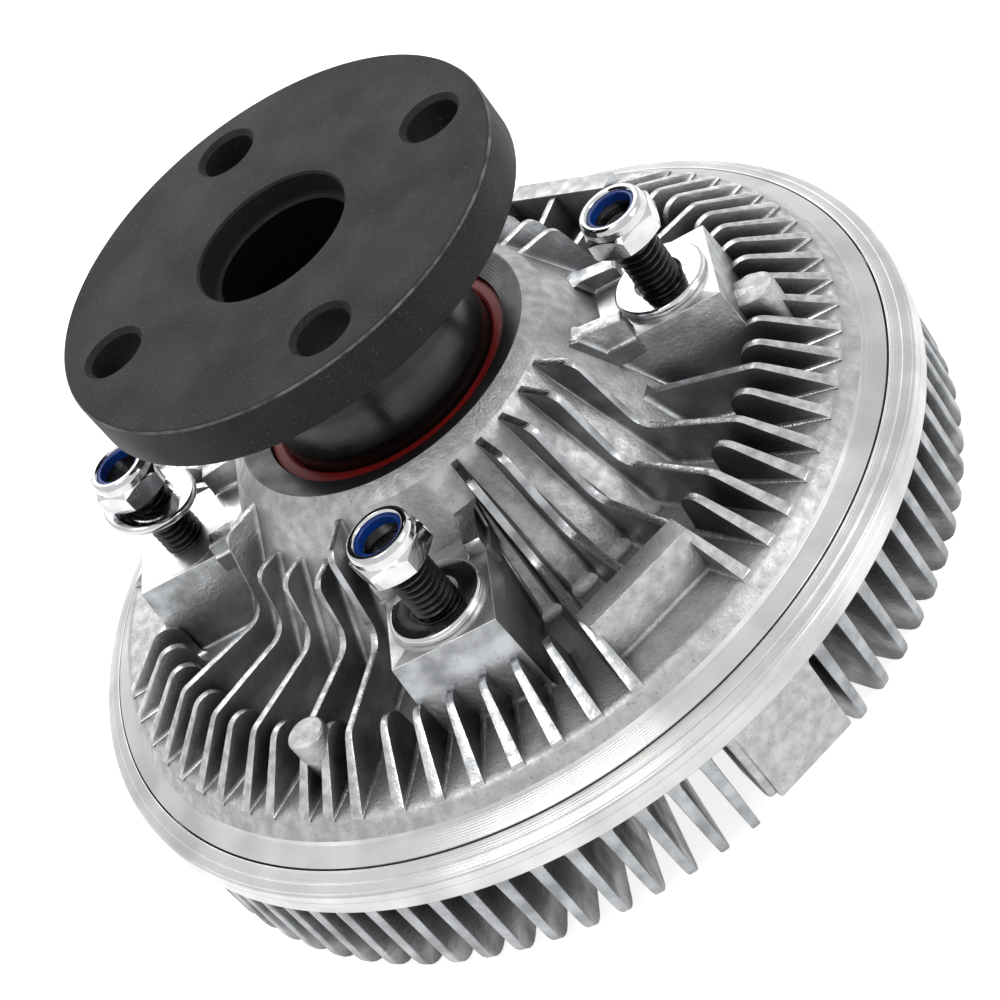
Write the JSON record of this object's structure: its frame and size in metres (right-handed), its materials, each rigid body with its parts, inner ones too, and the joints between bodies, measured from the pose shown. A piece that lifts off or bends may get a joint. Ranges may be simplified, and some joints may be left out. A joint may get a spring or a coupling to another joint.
{
  "type": "viscous fan clutch",
  "caption": "Viscous fan clutch: finned cast housing with threaded fan studs and lock nuts, turning on a black drive flange with bolt holes and a pilot bore.",
  "frame": {"origin": "on the shaft axis, at the level of the front fin tips", "axes": "+Z along the shaft axis out of the drive flange; the fan studs stand on the X and Y axes"},
  "size_m": [0.1988, 0.1988, 0.115],
  "materials": {
    "black_steel": "matt black phosphated steel",
    "bearing_steel": "ground bearing steel",
    "pressed_steel": "plain steel",
    "seal_rubber": "black nitrile rubber",
    "red_rubber": "dark red silicone rubber",
    "cast_aluminium": "die-cast aluminium with turned lands",
    "machined_aluminium": "turned aluminium",
    "bimetal_strip": "bimetal strip",
    "bright_zinc": "bright zinc plate",
    "blue_nylon": "blue nylon"
  },
  "bodies": {
    "housing": {"rear_cover": "cast_aluminium", "front_body": "cast_aluminium", "cover_seal_ring": "seal_rubber", "bearing_outer_ring": "bearing_steel", "bearing_seal_upper": "seal_rubber", "bearing_seal_lower": "seal_rubber", "bearing_snap_ring": "pressed_steel", "neck_seal": "red_rubber", "separator_plate": "pressed_steel", "separator_screws": "pressed_steel", "valve_shaft_o_ring": "seal_rubber", "bimetal_coil": "bimetal_strip", "coil_anchor": "pressed_steel", "fan_studs": "black_steel", "stud_washers": "bright_zinc", "lock_nuts": "bright_zinc", "nut_inserts": "blue_nylon"},
    "drive_shaft": {"flange_shaft": "black_steel", "bearing_inner_ring": "bearing_steel", "clutch_rotor": "machined_aluminium", "rotor_washer": "pressed_steel", "rotor_nut": "pressed_steel"},
    "ball_set": {"bearing_balls": "bearing_steel", "bearing_cage": "pressed_steel"},
    "valve": {"valve_shaft": "pressed_steel", "valve_arm": "pressed_steel"}
  },
  "joints": [
    {"name": "shaft_spin", "type": "hinge", "parent": "housing", "child": "drive_shaft", "pos_m": [0, 0, 0.06], "axis": [0, 0, 1], "continuous": true},
    {"name": "ball_spin", "type": "hinge", "parent": "housing", "child": "ball_set", "pos_m": [0, 0, 0.06], "axis": [0, 0, 1], "continuous": true},
    {"name": "valve_turn", "type": "hinge", "parent": "housing", "child": "valve", "pos_m": [0, 0, 0.015], "axis": [0, 0, 1], "range_deg": [0, 25], "stiffness_Nm_per_rad": 0.02, "deforming": ["bimetal_coil"]}
  ],
  "couplings": [
    {"joint": "ball_spin", "follows": "shaft_spin", "ratio": 0.3965}
  ]
}
